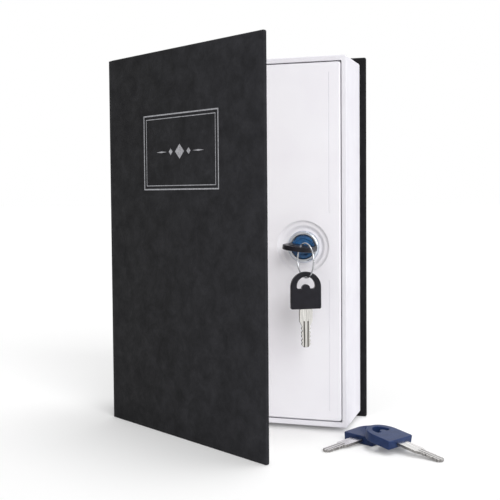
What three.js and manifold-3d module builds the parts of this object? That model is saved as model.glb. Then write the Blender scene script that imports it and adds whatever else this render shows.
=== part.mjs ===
// Book diversion safe: a hardback whose page block is a locking steel box.
// Millimetres, +Z up. The book stands on its foot, its front faces -Y and its spine is at -X.
// The origin is the middle of the back board's foot, on the table.
import * as THREE from "three";
import { mergeVertices } from "three/addons/utils/BufferGeometryUtils.js";
import Module from "manifold-3d";

const wasm = await Module();
wasm.setup();

// Case: boards wrapped in textured cloth
const bookHeight = 240;
const bookWidth = 155;
const boardThickness = 2.6;
const boardCorner = 2;
const boardEdge = 0.7;
const spineSwing = 10.5;
const coverOpening = 32;
const closedCoverGap = 1;

// Clearance between pieces that touch, and round pins in their holes
const fit = 0.3;

// How far a cut runs past the piece that it cuts
const past = 1;

// Page block: a moulded frame with a lip round its front
const blockDepth = 46;
const foreEdgeSquare = 4;
const headSquare = 4;
const footSquare = 3;
const spineSpace = 0.6;
const blockWall = 1.6;
const lipWidth = 3.2;
const lipThickness = 1.6;
const blockCorner = 1.5;
const blockEdge = 0.5;
const pageGrooves = 14;
const pageGrooveDepth = 0.35;
const pageGrooveWidth = 0.7;
const pageBand = 6;

// Steel box inside the frame
const sheet = 1;
const boxCorner = 1;
const rimWidth = 7;

// Lid: a shallow pressed pan set into the lip
const lidDepth = 6;
const lidSeam = 0.6;
const hingeSeam = 1.5;
const lidCorner = 1.2;
const lidEdge = 0.8;

// Lid pivots
const pinRadius = 1.5;
const pinReach = 4;
const earWidth = 9;

// Dish pressed into the lid round the lock
const lockFromForeEdge = 28;
const lockAboveFoot = 113.8;
const dishRadius = 16.6;
const dishStepRadius = 13.4;
const dishFloorRadius = 11.9;
const dishStepDepth = 1.1;
const dishDepth = 2.5;
const dishSlope = 1.4;

// Cam lock
const bezelRadius = 10.2;
const bezelThickness = 2;
const bezelOuterEdge = 0.9;
const bezelInnerEdge = 0.5;
const barrelRadius = 8.4;
const barrelLength = 22.5;
const barrelFlat = 7.6;
const plugFaceRadius = 7.05;
const plugFaceThickness = 1.6;
const plugFaceEdge = 0.3;
const plugRecessRadius = 5.4;
const plugRecessDepth = 0.5;
const plugRecessSlope = 0.3;
const plugRadius = 6.2;
const washerRadius = 11.6;
const washerThickness = 0.8;
const nutAcrossFlats = 20;
const nutThickness = 3.5;
const tailSide = 6;
const camThickness = 1.5;
const camReach = 23.5;
const camWidth = 11;
const camTipWidth = 8;
const camTipCorner = 2;
const screwHeadRadius = 4;
const screwHeadHeight = 2;
const screwHeadEdge = 0.6;
const screwSlotWidth = 1;
const screwSlotDepth = 0.9;
const screwRadius = 1.5;
const screwLength = 3;
const waferCount = 5;
const waferThickness = 1;
const waferPitch = 2.4;
const waferHeight = 6;
const waferEnd = 1.6;
const channelDepth = 0.5;
const channelMargin = 1;

// Catch welded inside the fore edge of the box
const catchReach = 8;
const catchHeight = 26;
const catchThickness = 1.4;
const camClearance = 0.6;

// Keys
const keyTilt = 7;
const keyStandOff = 0.8;
const blackHeadLength = 22.8;
const blackHeadWidth = 19;
const blackHeadThickness = 3;
const blueHeadLength = 23;
const blueHeadWidth = 22;
const blueHeadThickness = 5.2;
const blueNeck = 5.6;
const headCorner = 0.8;
const headEdge = 0.4;
const holeRadius = 5.9;
const holeFromTop = 8.9;
const holeDrop = 1.4;
const bumpRadius = 2.6;
const bladeThickness = 1.6;
const bladeLength = 23.4;
const shoulderWidth = 8.2;
const shoulderLength = 7.4;
const taperLength = 2.4;
const bladeWidth = 5.6;
const tipWidth = 2.6;
const tipLength = 1.8;
const tangWidth = 7;
const tangLength = 7;
const cutDepths = [0.5, 0.9, 0.35, 0.75, 0.45];
const cutWidth = 1.9;
const grooveWidth = 0.8;
const grooveDepth = 0.4;
const grooveSpacing = 2.4;

// Wire ring and where it hangs on the key in the lock
const ringRadius = 10.5;
const wireRadius = 0.5;
const ringTurn = 41;
const ringAcross = 1.8;
const ringInHole = 4.1;
const spareKeyTurn = 30;

// Loose keys on the table: where the blade end of each head lies, and the way that its blade points.
// The right key's head rests on the left one's, at these distances back along the two heads.
const leftKeyAcross = 84.1;
const leftKeyForward = 70.3;
const leftKeyHeading = 239;
const rightKeyAcross = 111.5;
const rightKeyForward = 82.3;
const rightKeyHeading = 331;
const leftKeyUnder = 8;
const rightKeyOver = 17.7;

// Places that follow from the sizes
const half = boardThickness / 2;
const blockBack = -(half + fit);
const face = blockBack - blockDepth;
const blockLeft = -bookWidth / 2 + boardThickness + spineSpace;
const blockRight = bookWidth / 2 - foreEdgeSquare;
const blockFoot = footSquare;
const blockHead = bookHeight - headSquare;
const jointRadius = half;
const backAxis = -bookWidth / 2 + half;
const spineLength = -(face - closedCoverGap - half);
const coverLength = bookWidth - half;
const boxLeft = blockLeft + blockWall + fit;
const boxRight = blockRight - blockWall - fit;
const boxFoot = blockFoot + blockWall + fit;
const boxHead = blockHead - blockWall - fit;
const rimFront = face + lidDepth + fit;
const lidLeft = blockLeft + lipWidth + hingeSeam;
const lidRight = blockRight - lipWidth - lidSeam;
const lidFoot = blockFoot + lipWidth + lidSeam;
const lidHead = blockHead - lipWidth - lidSeam;
const pivotInset = lipThickness + fit + pinRadius;
const lidSwing = Math.hypot(pivotInset, pivotInset) + fit;
const pivotX = lidLeft + pivotInset;
const pivotY = face + pivotInset;
const lockX = blockRight - lockFromForeEdge;
const lockZ = blockFoot + lockAboveFoot;
const dishFloor = face + dishDepth;
const bezelBack = dishFloor - fit;
const bezelFront = bezelBack - bezelThickness;
const barrelEnd = dishFloor + sheet + barrelLength;
const plugFront = bezelFront + fit;
const plugFaceBack = plugFront + plugFaceThickness;
const counterboreFloor = plugFaceBack + fit;
const boreRadius = plugRadius + fit;
const plugEnd = barrelEnd + fit;
const camFront = plugEnd + fit;
const camBack = camFront + camThickness;
const keywayWidth = shoulderWidth + 2 * fit;
const keywayHeight = bladeThickness + 2 * fit;
const bladeInserted = bladeLength - keyStandOff;
const firstCut = bladeLength - tipLength - (waferCount - 0.5) * waferPitch;
const firstWafer = plugFront - keyStandOff + firstCut - waferThickness / 2;
const blackHead = { length: blackHeadLength, width: blackHeadWidth, thickness: blackHeadThickness };
const blueHead = { length: blueHeadLength, width: blueHeadWidth, thickness: blueHeadThickness };
const blueReach = bladeLength + blueNeck;
const headOverBlade = (blueHeadThickness - bladeThickness) / 2;
const leftKeyLean = Math.asin(headOverBlade / blueReach);
const leftKeyTop = blueHeadThickness * Math.cos(leftKeyLean) + leftKeyUnder * Math.sin(leftKeyLean) + fit;
const rightKeySpan = blueReach + rightKeyOver;
const rightKeyLean =
  Math.asin(leftKeyTop / Math.hypot(rightKeySpan, headOverBlade)) + Math.atan2(headOverBlade, rightKeySpan);

// Sides of round pieces
const turnedSides = 48;
const pinSides = 20;
const screwSides = 24;
const jointSides = 16;
const ringSides = 48;
const wireSides = 8;
const cornerSteps = 4;
const headSteps = 9;
const camSteps = 12;

// Turns a closed three.js geometry into a solid, with its faces pointing out
function solid(geometry) {
  const bare = geometry.index ? geometry.toNonIndexed() : geometry.clone();
  bare.deleteAttribute("normal");
  bare.deleteAttribute("uv");
  const merged = mergeVertices(bare, 1e-4);
  const vertProperties = merged.attributes.position.array;
  const triVerts = new Uint32Array(merged.index.array);
  const made = new wasm.Manifold(new wasm.Mesh({ numProp: 3, vertProperties, triVerts }));
  if (made.volume() > 0) return made;
  for (let i = 0; i < triVerts.length; i += 3) {
    const first = triVerts[i];
    triVerts[i] = triVerts[i + 1];
    triVerts[i + 1] = first;
  }
  return new wasm.Manifold(new wasm.Mesh({ numProp: 3, vertProperties, triVerts }));
}

// Turns a solid back into a geometry
function geometryOf(body) {
  const mesh = body.getMesh();
  const stride = mesh.numProp;
  const positions = new Float32Array(mesh.numVert * 3);
  for (let i = 0; i < mesh.numVert; i += 1) {
    positions.set(mesh.vertProperties.subarray(i * stride, i * stride + 3), i * 3);
  }
  const geometry = new THREE.BufferGeometry();
  geometry.setAttribute("position", new THREE.BufferAttribute(positions, 3));
  geometry.setIndex(new THREE.BufferAttribute(mesh.triVerts, 1));
  return geometry;
}

// A box between two limits on each axis
function block([x0, x1], [y0, y1], [z0, z1]) {
  const geometry = new THREE.BoxGeometry(x1 - x0, y1 - y0, z1 - z0);
  geometry.translate((x0 + x1) / 2, (y0 + y1) / 2, (z0 + z1) / 2);
  return solid(geometry);
}

// An outline drawn in X and Z, made solid from y0 to y1, with its edges rounded by edge
function panel(outline, [y0, y1], edge = 0, curveSegments = cornerSteps) {
  const geometry = new THREE.ExtrudeGeometry(outline, {
    depth: y1 - y0 - 2 * edge,
    bevelEnabled: edge > 0,
    bevelThickness: edge,
    bevelSize: edge,
    bevelOffset: -edge,
    bevelSegments: 2,
    curveSegments,
  });
  geometry.translate(0, 0, edge);
  geometry.rotateX(Math.PI / 2);
  geometry.translate(0, y1, 0);
  return solid(geometry);
}

// A rectangle with rounded corners
function roundedRectangle([x0, x1], [z0, z1], corner) {
  const shape = new THREE.Shape();
  shape.moveTo(x0 + corner, z0);
  shape.lineTo(x1 - corner, z0);
  shape.absarc(x1 - corner, z0 + corner, corner, -Math.PI / 2, 0, false);
  shape.lineTo(x1, z1 - corner);
  shape.absarc(x1 - corner, z1 - corner, corner, 0, Math.PI / 2, false);
  shape.lineTo(x0 + corner, z1);
  shape.absarc(x0 + corner, z1 - corner, corner, Math.PI / 2, Math.PI, false);
  shape.lineTo(x0, z0 + corner);
  shape.absarc(x0 + corner, z0 + corner, corner, Math.PI, 1.5 * Math.PI, false);
  return shape;
}

// A profile of [radius, y] points turned about the lock's axis
function turned(profile, segments = turnedSides) {
  const points = profile.map(([radius, y]) => new THREE.Vector2(radius, y));
  const geometry = new THREE.LatheGeometry([...points, points[0]], segments);
  geometry.translate(lockX, 0, lockZ);
  return solid(geometry);
}

// A cylinder along Z
function upright(radius, [x, y], [z0, z1], segments = pinSides) {
  const geometry = new THREE.CylinderGeometry(radius, radius, z1 - z0, segments);
  geometry.rotateX(Math.PI / 2);
  geometry.translate(x, y, (z0 + z1) / 2);
  return solid(geometry);
}

const finishes = {
  cloth: { color: 0x2b2b2d, roughness: 0.8, metalness: 0 },
  whiteMoulding: { color: 0xeceaf0, roughness: 0.6, metalness: 0 },
  whiteEnamel: { color: 0xf0f0f5, roughness: 0.45, metalness: 0 },
  chrome: { color: 0xc8ccd2, roughness: 0.15, metalness: 1 },
  blueEnamel: { color: 0x1a4f8a, roughness: 0.25, metalness: 0.2 },
  zincSteel: { color: 0xa9adb2, roughness: 0.4, metalness: 1 },
  brass: { color: 0xb59a55, roughness: 0.35, metalness: 1 },
  nickel: { color: 0xc9c6bd, roughness: 0.3, metalness: 1 },
  blackPlastic: { color: 0x1e1c22, roughness: 0.45, metalness: 0 },
  bluePlastic: { color: 0x33486f, roughness: 0.4, metalness: 0 },
};

// Adds one named piece to a group
function add(group, name, body, finish) {
  const geometry = body.isBufferGeometry ? body : geometryOf(body);
  const mesh = new THREE.Mesh(geometry, new THREE.MeshStandardMaterial(finishes[finish]));
  mesh.name = name;
  group.add(mesh);
  return mesh;
}

// A wrapped board along +X from a cloth joint on the origin's vertical axis
function board(length, endGap) {
  const outline = roundedRectangle([jointRadius + fit, length - endGap], [0, bookHeight], boardCorner);
  return panel(outline, [-half, half], boardEdge);
}

// The rolled cloth of a joint, on the origin's vertical axis
function clothJoint() {
  return upright(jointRadius, [0, 0], [0, bookHeight], jointSides);
}

// Moulded frame that stands in for the pages: four walls, a front lip and page grooves
function pageBlock() {
  const outer = panel(
    roundedRectangle([blockLeft, blockRight], [blockFoot, blockHead], blockCorner),
    [face, blockBack],
    blockEdge,
  );
  const hollow = block(
    [blockLeft + blockWall, blockRight - blockWall],
    [face + lipThickness, blockBack + past],
    [blockFoot + blockWall, blockHead - blockWall],
  );
  const mouth = block(
    [blockLeft + lipWidth, blockRight - lipWidth],
    [face - past, face + lipThickness + past],
    [blockFoot + lipWidth, blockHead - lipWidth],
  );
  let frame = outer.subtract(hollow).subtract(mouth);
  const span = blockDepth - 2 * pageBand;
  for (let i = 0; i < pageGrooves; i += 1) {
    const y = face + pageBand + (span * (i + 0.5)) / pageGrooves;
    const across = [y - pageGrooveWidth / 2, y + pageGrooveWidth / 2];
    const along = [blockLeft - past, blockRight + past];
    const upwards = [blockFoot - past, blockHead + past];
    const foreGroove = block([blockRight - pageGrooveDepth, blockRight + past], across, upwards);
    const headGroove = block(along, across, [blockHead - pageGrooveDepth, blockHead + past]);
    const footGroove = block(along, across, [blockFoot - past, blockFoot + pageGrooveDepth]);
    frame = frame.subtract(foreGroove).subtract(headGroove).subtract(footGroove);
  }
  return frame;
}

// Folded steel box: back, four walls, a rim turned inward except where the lid swings,
// and two ears that hold the pivots
function steelBox() {
  const outline = roundedRectangle([boxLeft, boxRight], [boxFoot, boxHead], boxCorner);
  const outer = panel(outline, [rimFront, blockBack]);
  const hollow = block(
    [boxLeft + sheet, boxRight - sheet],
    [rimFront + sheet, blockBack - sheet],
    [boxFoot + sheet, boxHead - sheet],
  );
  const mouth = block(
    [boxLeft + sheet + rimWidth, boxRight - sheet - rimWidth],
    [rimFront - past, rimFront + sheet + past],
    [boxFoot + sheet + rimWidth, boxHead - sheet - rimWidth],
  );
  const hingeRoom = block(
    [boxLeft + sheet, pivotX + lidSwing],
    [rimFront - past, rimFront + sheet + past],
    [boxFoot + sheet, boxHead - sheet],
  );
  let body = outer.subtract(hollow).subtract(mouth).subtract(hingeRoom);
  const earX = [boxLeft + boxCorner, boxLeft + boxCorner + earWidth];
  const earY = [face + lipThickness + fit, rimFront + sheet / 2];
  for (const earZ of [[boxHead - sheet, boxHead], [boxFoot, boxFoot + sheet]]) {
    const hole = upright(pinRadius + fit, [pivotX, pivotY], [earZ[0] - past, earZ[1] + past]);
    body = body.add(block(earX, earY, earZ)).subtract(hole);
  }
  return body;
}

// Catch: an angle on the fore edge wall, whose rear leg the cam turns behind
function catchAngle() {
  const outside = boxRight - sheet - fit;
  const z = [lockZ - catchHeight / 2, lockZ + catchHeight / 2];
  const legBack = camFront - camClearance;
  const wallLeg = block([outside - catchThickness, outside], [rimFront + sheet + fit, legBack], z);
  const rearLeg = block([outside - catchReach, outside], [legBack - catchThickness, legBack], z);
  return wallLeg.add(rearLeg);
}

// Profile of the dish sheet from its edge at the lid's face to the lock hole
function dishProfile() {
  return [
    [dishRadius + sheet, face],
    [dishRadius, face],
    [dishRadius - dishSlope, face + dishStepDepth],
    [dishStepRadius, face + dishStepDepth],
    [dishFloorRadius, dishFloor],
    [barrelRadius + fit, dishFloor],
    [barrelRadius + fit, dishFloor + sheet],
    [dishFloorRadius + sheet / 2, dishFloor + sheet],
    [dishStepRadius + sheet / 2, face + dishStepDepth + sheet],
    [dishRadius - dishSlope + sheet / 2, face + dishStepDepth + sheet],
    [dishRadius + sheet, face + sheet],
  ];
}

// Lid: pressed pan with folded edges, pivot holes and the lock's dish
function lidPan() {
  const outer = panel(
    roundedRectangle([lidLeft, lidRight], [lidFoot, lidHead], lidCorner),
    [face, face + lidDepth],
    lidEdge,
  );
  const inside = block(
    [lidLeft + sheet, lidRight - sheet],
    [face + sheet, face + lidDepth + past],
    [lidFoot + sheet, lidHead - sheet],
  );
  const dishHole = turned([
    [0, face - past],
    [dishRadius + sheet / 2, face - past],
    [dishRadius + sheet / 2, face + sheet + past],
    [0, face + sheet + past],
  ]);
  const pivotHoles = upright(pinRadius + fit, [pivotX, pivotY], [lidFoot - past, lidHead + past]);
  return outer.subtract(inside).subtract(pivotHoles).subtract(dishHole).add(turned(dishProfile()));
}

// Pivot pin through an ear of the box and the fold of the lid
function pivotPin(earOuter, inward) {
  const flange = inward < 0 ? lidHead : lidFoot;
  const inner = flange + inward * (sheet + pinReach);
  return upright(pinRadius, [pivotX, pivotY], [Math.min(earOuter, inner), Math.max(earOuter, inner)]);
}

// Lock barrel with its bezel, counterbore, plug bore, wafer channels and flats
function lockBarrel() {
  const mouth = plugFaceRadius + fit;
  const barrel = turned([
    [mouth, bezelFront + bezelInnerEdge],
    [mouth + bezelInnerEdge, bezelFront],
    [bezelRadius - bezelOuterEdge, bezelFront],
    [bezelRadius, bezelFront + bezelOuterEdge],
    [bezelRadius, bezelBack],
    [barrelRadius, bezelBack],
    [barrelRadius, barrelEnd],
    [boreRadius, barrelEnd],
    [boreRadius, counterboreFloor],
    [mouth, counterboreFloor],
  ]);
  const reach = 2 * barrelRadius;
  let body = barrel;
  for (const side of [-1, 1]) {
    const flat = [lockX + side * barrelFlat, lockX + side * reach].sort((a, b) => a - b);
    const threaded = [dishFloor + sheet + fit, barrelEnd + past];
    body = body.subtract(block(flat, threaded, [lockZ - reach, lockZ + reach]));
  }
  const channelZ = [lockZ - waferHeight / 2 - fit, lockZ + waferHeight / 2 + fit];
  const channelX = [lockX - boreRadius - channelDepth, lockX + boreRadius + channelDepth];
  const channelY = [counterboreFloor + channelMargin, barrelEnd - channelMargin];
  return body.subtract(block(channelX, channelY, channelZ));
}

// Hexagon nut on the barrel
function barrelNut(front) {
  const nutRadius = nutAcrossFlats / Math.sqrt(3);
  const geometry = new THREE.CylinderGeometry(nutRadius, nutRadius, nutThickness, 6);
  geometry.translate(lockX, front + nutThickness / 2, lockZ);
  const bore = turned([
    [0, front - past],
    [barrelRadius + fit, front - past],
    [barrelRadius + fit, front + nutThickness + past],
    [0, front + nutThickness + past],
  ]);
  return solid(geometry).subtract(bore);
}

// Flat washer behind the dish
function barrelWasher(front) {
  return turned([
    [barrelRadius + fit, front],
    [washerRadius, front],
    [washerRadius, front + washerThickness],
    [barrelRadius + fit, front + washerThickness],
  ]);
}

// Start of each wafer along the lock, where the key's cuts come to rest
function waferPlaces() {
  return Array.from({ length: waferCount }, (_, i) => firstWafer + i * waferPitch);
}

// Plug: dished face disc, keyed stem with wafer slots, square tail and screw hole
function lockPlug() {
  let body = turned([
    [0, plugFront + plugRecessDepth],
    [plugRecessRadius - plugRecessSlope, plugFront + plugRecessDepth],
    [plugRecessRadius, plugFront],
    [plugFaceRadius - plugFaceEdge, plugFront],
    [plugFaceRadius, plugFront + plugFaceEdge],
    [plugFaceRadius, plugFaceBack],
    [plugRadius, plugFaceBack],
    [plugRadius, plugEnd],
    [0, plugEnd],
  ]);
  const halfTail = tailSide / 2;
  const tail = block(
    [lockX - halfTail, lockX + halfTail],
    [plugEnd - past, plugEnd + camThickness + fit],
    [lockZ - halfTail, lockZ + halfTail],
  );
  body = body.add(tail);
  const keyway = block(
    [lockX - keywayWidth / 2, lockX + keywayWidth / 2],
    [plugFront - past, plugFront + bladeInserted + fit],
    [lockZ - keywayHeight / 2, lockZ + keywayHeight / 2],
  );
  body = body.subtract(keyway);
  for (const y of waferPlaces()) {
    const slot = block(
      [lockX - plugRadius - past, lockX + plugRadius + past],
      [y - fit, y + waferThickness + fit],
      [lockZ - waferHeight / 2 - fit, lockZ + waferHeight / 2 + fit],
    );
    body = body.subtract(slot);
  }
  const holeEnd = plugEnd + camThickness + fit - screwLength;
  const tapped = turned(
    [
      [0, holeEnd],
      [screwRadius + fit, holeEnd],
      [screwRadius + fit, camBack + past],
      [0, camBack + past],
    ],
    screwSides,
  );
  return body.subtract(tapped);
}

// Wafer: a plate across the plug with a window for the blade
function wafer(y) {
  const reach = Math.sqrt(plugRadius ** 2 - (waferHeight / 2) ** 2) - fit;
  const plate = block(
    [lockX - reach, lockX + reach],
    [y, y + waferThickness],
    [lockZ - waferHeight / 2, lockZ + waferHeight / 2],
  );
  const window = block(
    [lockX - reach + waferEnd, lockX + reach - waferEnd],
    [y - past, y + waferThickness + past],
    [lockZ - keywayHeight / 2, lockZ + keywayHeight / 2],
  );
  return plate.subtract(window);
}

// Cam: a tongue that points up when unlocked, with a square hole
function lockCam() {
  const right = lockX + camTipWidth / 2;
  const left = lockX - camTipWidth / 2;
  const top = lockZ + camReach;
  const shape = new THREE.Shape();
  shape.absarc(lockX, lockZ, camWidth / 2, Math.PI, 2 * Math.PI, false);
  shape.lineTo(right, top - camTipCorner);
  shape.quadraticCurveTo(right, top, right - camTipCorner, top);
  shape.lineTo(left + camTipCorner, top);
  shape.quadraticCurveTo(left, top, left, top - camTipCorner);
  shape.closePath();
  const side = tailSide / 2 + fit;
  const hole = block(
    [lockX - side, lockX + side],
    [camFront - past, camBack + past],
    [lockZ - side, lockZ + side],
  );
  return panel(shape, [camFront, camBack], 0, camSteps).subtract(hole);
}

// Slotted screw that holds the cam
function camScrew() {
  const headFront = camBack + fit;
  const headBack = headFront + screwHeadHeight;
  const tip = headFront - screwLength + fit;
  const body = turned(
    [
      [0, tip],
      [screwRadius, tip],
      [screwRadius, headFront],
      [screwHeadRadius, headFront],
      [screwHeadRadius, headBack - screwHeadEdge],
      [screwHeadRadius - screwHeadEdge, headBack],
      [0, headBack],
    ],
    screwSides,
  );
  const slot = block(
    [lockX - screwSlotWidth / 2, lockX + screwSlotWidth / 2],
    [headBack - screwSlotDepth, headBack + past],
    [lockZ - screwHeadRadius - past, lockZ + screwHeadRadius + past],
  );
  return body.subtract(slot);
}

// Everything on the plug, turned about the lock's axis by the key's tilt
function lockCore() {
  const core = new THREE.Group();
  const centred = new THREE.Group();
  core.position.set(lockX, 0, lockZ);
  core.rotation.y = THREE.MathUtils.degToRad(keyTilt);
  centred.position.set(-lockX, 0, -lockZ);
  core.add(centred);
  add(centred, "lock_plug", lockPlug(), "blueEnamel");
  waferPlaces().forEach((y, i) => add(centred, `lock_wafer_${i + 1}`, wafer(y), "brass"));
  add(centred, "lock_cam", lockCam(), "zincSteel");
  add(centred, "cam_screw", camScrew(), "zincSteel");
  const key = keyPair("lock_key", blackHead, "blackPlastic");
  key.position.set(lockX, plugFront - keyStandOff, lockZ);
  centred.add(key);
  return core;
}

// Crescent hole of a key head: an arch above, round ends and a round bump between them
function crescent(middle) {
  const ends = middle + holeDrop;
  const hole = new THREE.Path();
  hole.absarc(0, middle, holeRadius, Math.PI, 2 * Math.PI, false);
  hole.quadraticCurveTo(holeRadius, ends, holeRadius - holeDrop, ends);
  hole.lineTo(bumpRadius, ends);
  hole.absarc(0, ends, bumpRadius, 2 * Math.PI, Math.PI, true);
  hole.lineTo(holeDrop - holeRadius, ends);
  hole.quadraticCurveTo(-holeRadius, ends, -holeRadius, middle);
  return hole;
}

// Key head in the key's own frame: the blade leaves it along +Y, its width is X
function keyHead({ length, width, thickness }) {
  const r = width / 2;
  const outline = new THREE.Shape();
  outline.absarc(0, -(length - r), r, Math.PI, 2 * Math.PI, false);
  outline.lineTo(r, -headCorner);
  outline.quadraticCurveTo(r, 0, r - headCorner, 0);
  outline.lineTo(headCorner - r, 0);
  outline.quadraticCurveTo(-r, 0, -r, -headCorner);
  outline.closePath();
  outline.holes.push(crescent(-(length - holeFromTop)));
  const geometry = new THREE.ExtrudeGeometry(outline, {
    depth: thickness - 2 * headEdge,
    bevelThickness: headEdge,
    bevelSize: headEdge,
    bevelOffset: -headEdge,
    bevelSegments: 1,
    curveSegments: headSteps,
  });
  geometry.translate(0, 0, headEdge - thickness / 2);
  const side = tangWidth / 2 + fit;
  const gap = bladeThickness / 2 + fit;
  return solid(geometry).subtract(block([-side, side], [-tangLength - fit, past], [-gap, gap]));
}

// Key blade with shoulder, cuts on both edges and two grooves in each face. The neck is how much more of
// the blank shows below the head.
function keyBlade(neck) {
  const edge = (side) => {
    const points = [
      [side * (tangWidth / 2), -tangLength],
      [side * (tangWidth / 2), fit],
      [side * (shoulderWidth / 2), fit],
      [side * (shoulderWidth / 2), neck + shoulderLength],
      [side * (bladeWidth / 2), neck + shoulderLength + taperLength],
    ];
    const order = side > 0 ? cutDepths : [...cutDepths].reverse();
    order.forEach((depth, i) => {
      const centre = neck + firstCut + i * waferPitch;
      points.push([side * (bladeWidth / 2), centre - cutWidth / 2]);
      points.push([side * (bladeWidth / 2 - depth), centre]);
      points.push([side * (bladeWidth / 2), centre + cutWidth / 2]);
    });
    points.push([side * (bladeWidth / 2), neck + bladeLength - tipLength]);
    points.push([side * (tipWidth / 2), neck + bladeLength]);
    return points;
  };
  const points = [...edge(1), ...edge(-1).reverse()].map(([x, y]) => new THREE.Vector2(x, y));
  const stamping = new THREE.Shape(points);
  const geometry = new THREE.ExtrudeGeometry(stamping, { depth: bladeThickness, bevelEnabled: false });
  const surface = bladeThickness / 2;
  geometry.translate(0, 0, -surface);
  let body = solid(geometry);
  const front = [surface - grooveDepth, surface + past];
  const back = [-surface - past, grooveDepth - surface];
  for (const x of [-grooveSpacing / 2, grooveSpacing / 2]) {
    const across = [x - grooveWidth / 2, x + grooveWidth / 2];
    const along = [neck + shoulderLength, neck + bladeLength + past];
    body = body.subtract(block(across, along, front)).subtract(block(across, along, back));
  }
  return body;
}

// One key: its blade and its moulded head
function keyPair(name, head, finish, neck = 0) {
  const key = new THREE.Group();
  add(key, `${name}_blade`, keyBlade(neck), "nickel");
  add(key, `${name}_head`, keyHead(head), finish);
  return key;
}

// Centre of the ring from where it goes down through the hole: how far along its own plane, and how far
// below. The wire clears the edge of the head between the hole and its round end.
function ringHang(turn) {
  const fromMiddle = ringInHole - holeDrop;
  const lean = ringAcross * Math.sin(turn) + fromMiddle * Math.cos(turn);
  const toEdge = Math.sqrt(lean ** 2 + holeRadius ** 2 - ringAcross ** 2 - fromMiddle ** 2) - lean;
  const over = blackHeadThickness / 2 + wireRadius + fit;
  const span = Math.hypot(toEdge, over);
  const reach = Math.sqrt(ringRadius ** 2 - (span / 2) ** 2);
  return { along: toEdge / 2 + (reach * over) / span, below: (reach * toEdge) / span - over / 2 };
}

// Wire ring through the lock key's head, and the spare key that hangs on it
function hangingKey() {
  const group = new THREE.Group();
  const turn = THREE.MathUtils.degToRad(ringTurn);
  const inHole = plugFront - keyStandOff - (blackHead.length - holeFromTop) + holeDrop - ringInHole;
  const { along, below } = ringHang(turn);
  const drop = ringAcross * Math.sin(THREE.MathUtils.degToRad(keyTilt));
  const ring = new THREE.TorusGeometry(ringRadius, wireRadius, wireSides, ringSides);
  ring.rotateY(Math.PI / 2);
  ring.rotateZ(turn);
  const centre = [
    lockX + ringAcross + along * Math.sin(turn),
    inHole - along * Math.cos(turn),
    lockZ - drop - below,
  ];
  const wire = add(group, "key_ring", ring, "chrome");
  wire.position.set(...centre);
  const key = keyPair("spare_key", blackHead, "blackPlastic");
  const webTop = centre[2] - ringRadius + wireRadius + fit + (holeFromTop - holeRadius);
  key.rotation.set(-Math.PI / 2, 0, THREE.MathUtils.degToRad(spareKeyTurn), "ZYX");
  key.position.set(centre[0], centre[1], webTop - blackHead.length);
  group.add(key);
  return group;
}

const book = new THREE.Group();
book.name = "book_diversion_safe";

// Back board, page block and box
const backBoard = board(coverLength, 0);
const backGroup = new THREE.Group();
backGroup.position.x = backAxis;
add(backGroup, "back_cover", backBoard, "cloth");
book.add(backGroup);
add(book, "page_block", pageBlock(), "whiteMoulding");
add(book, "steel_box", steelBox(), "whiteEnamel");
add(book, "upper_pivot_pin", pivotPin(boxHead, -1), "zincSteel");
add(book, "lower_pivot_pin", pivotPin(boxFoot, 1), "zincSteel");
add(book, "catch", catchAngle(), "zincSteel");

// Spine and front board, swung open about their cloth joints
const spine = new THREE.Group();
spine.position.x = backAxis;
spine.rotation.z = THREE.MathUtils.degToRad(-90 - spineSwing);
add(spine, "back_joint", clothJoint(), "cloth");
add(spine, "spine_board", board(spineLength, jointRadius + fit), "cloth");
const cover = new THREE.Group();
cover.position.x = spineLength;
cover.rotation.z = THREE.MathUtils.degToRad(90 - (coverOpening - spineSwing));
add(cover, "front_joint", clothJoint(), "cloth");
add(cover, "front_cover", board(coverLength, 0), "cloth");
spine.add(cover);
book.add(spine);

// Lid and lock
add(book, "lid", lidPan(), "whiteEnamel");
add(book, "lock_barrel", lockBarrel(), "chrome");
const washerFront = dishFloor + sheet + fit;
const nutFront = washerFront + washerThickness + fit;
add(book, "lock_washer", barrelWasher(washerFront), "zincSteel");
add(book, "lock_nut", barrelNut(nutFront), "zincSteel");
book.add(lockCore());
book.add(hangingKey());

// Loose keys: each rests on the tip of its blade, the left one also on the edge of its head
const leftKey = keyPair("left_blue_key", blueHead, "bluePlastic", blueNeck);
leftKey.rotation.set(-leftKeyLean, 0, THREE.MathUtils.degToRad(leftKeyHeading - 90), "ZYX");
leftKey.position.set(leftKeyAcross, -leftKeyForward, (blueHeadThickness / 2) * Math.cos(leftKeyLean));
book.add(leftKey);
const rightKey = keyPair("right_blue_key", blueHead, "bluePlastic", blueNeck);
const rightKeyHeight = (bladeThickness / 2) * Math.cos(rightKeyLean) + blueReach * Math.sin(rightKeyLean);
rightKey.rotation.set(-rightKeyLean, 0, THREE.MathUtils.degToRad(rightKeyHeading - 90), "ZYX");
rightKey.position.set(rightKeyAcross, -rightKeyForward, rightKeyHeight);
book.add(rightKey);

export default book;
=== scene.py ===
import math
import random

import bmesh
import bpy
from mathutils import Matrix, Vector
from mathutils.geometry import tessellate_polygon


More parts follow.
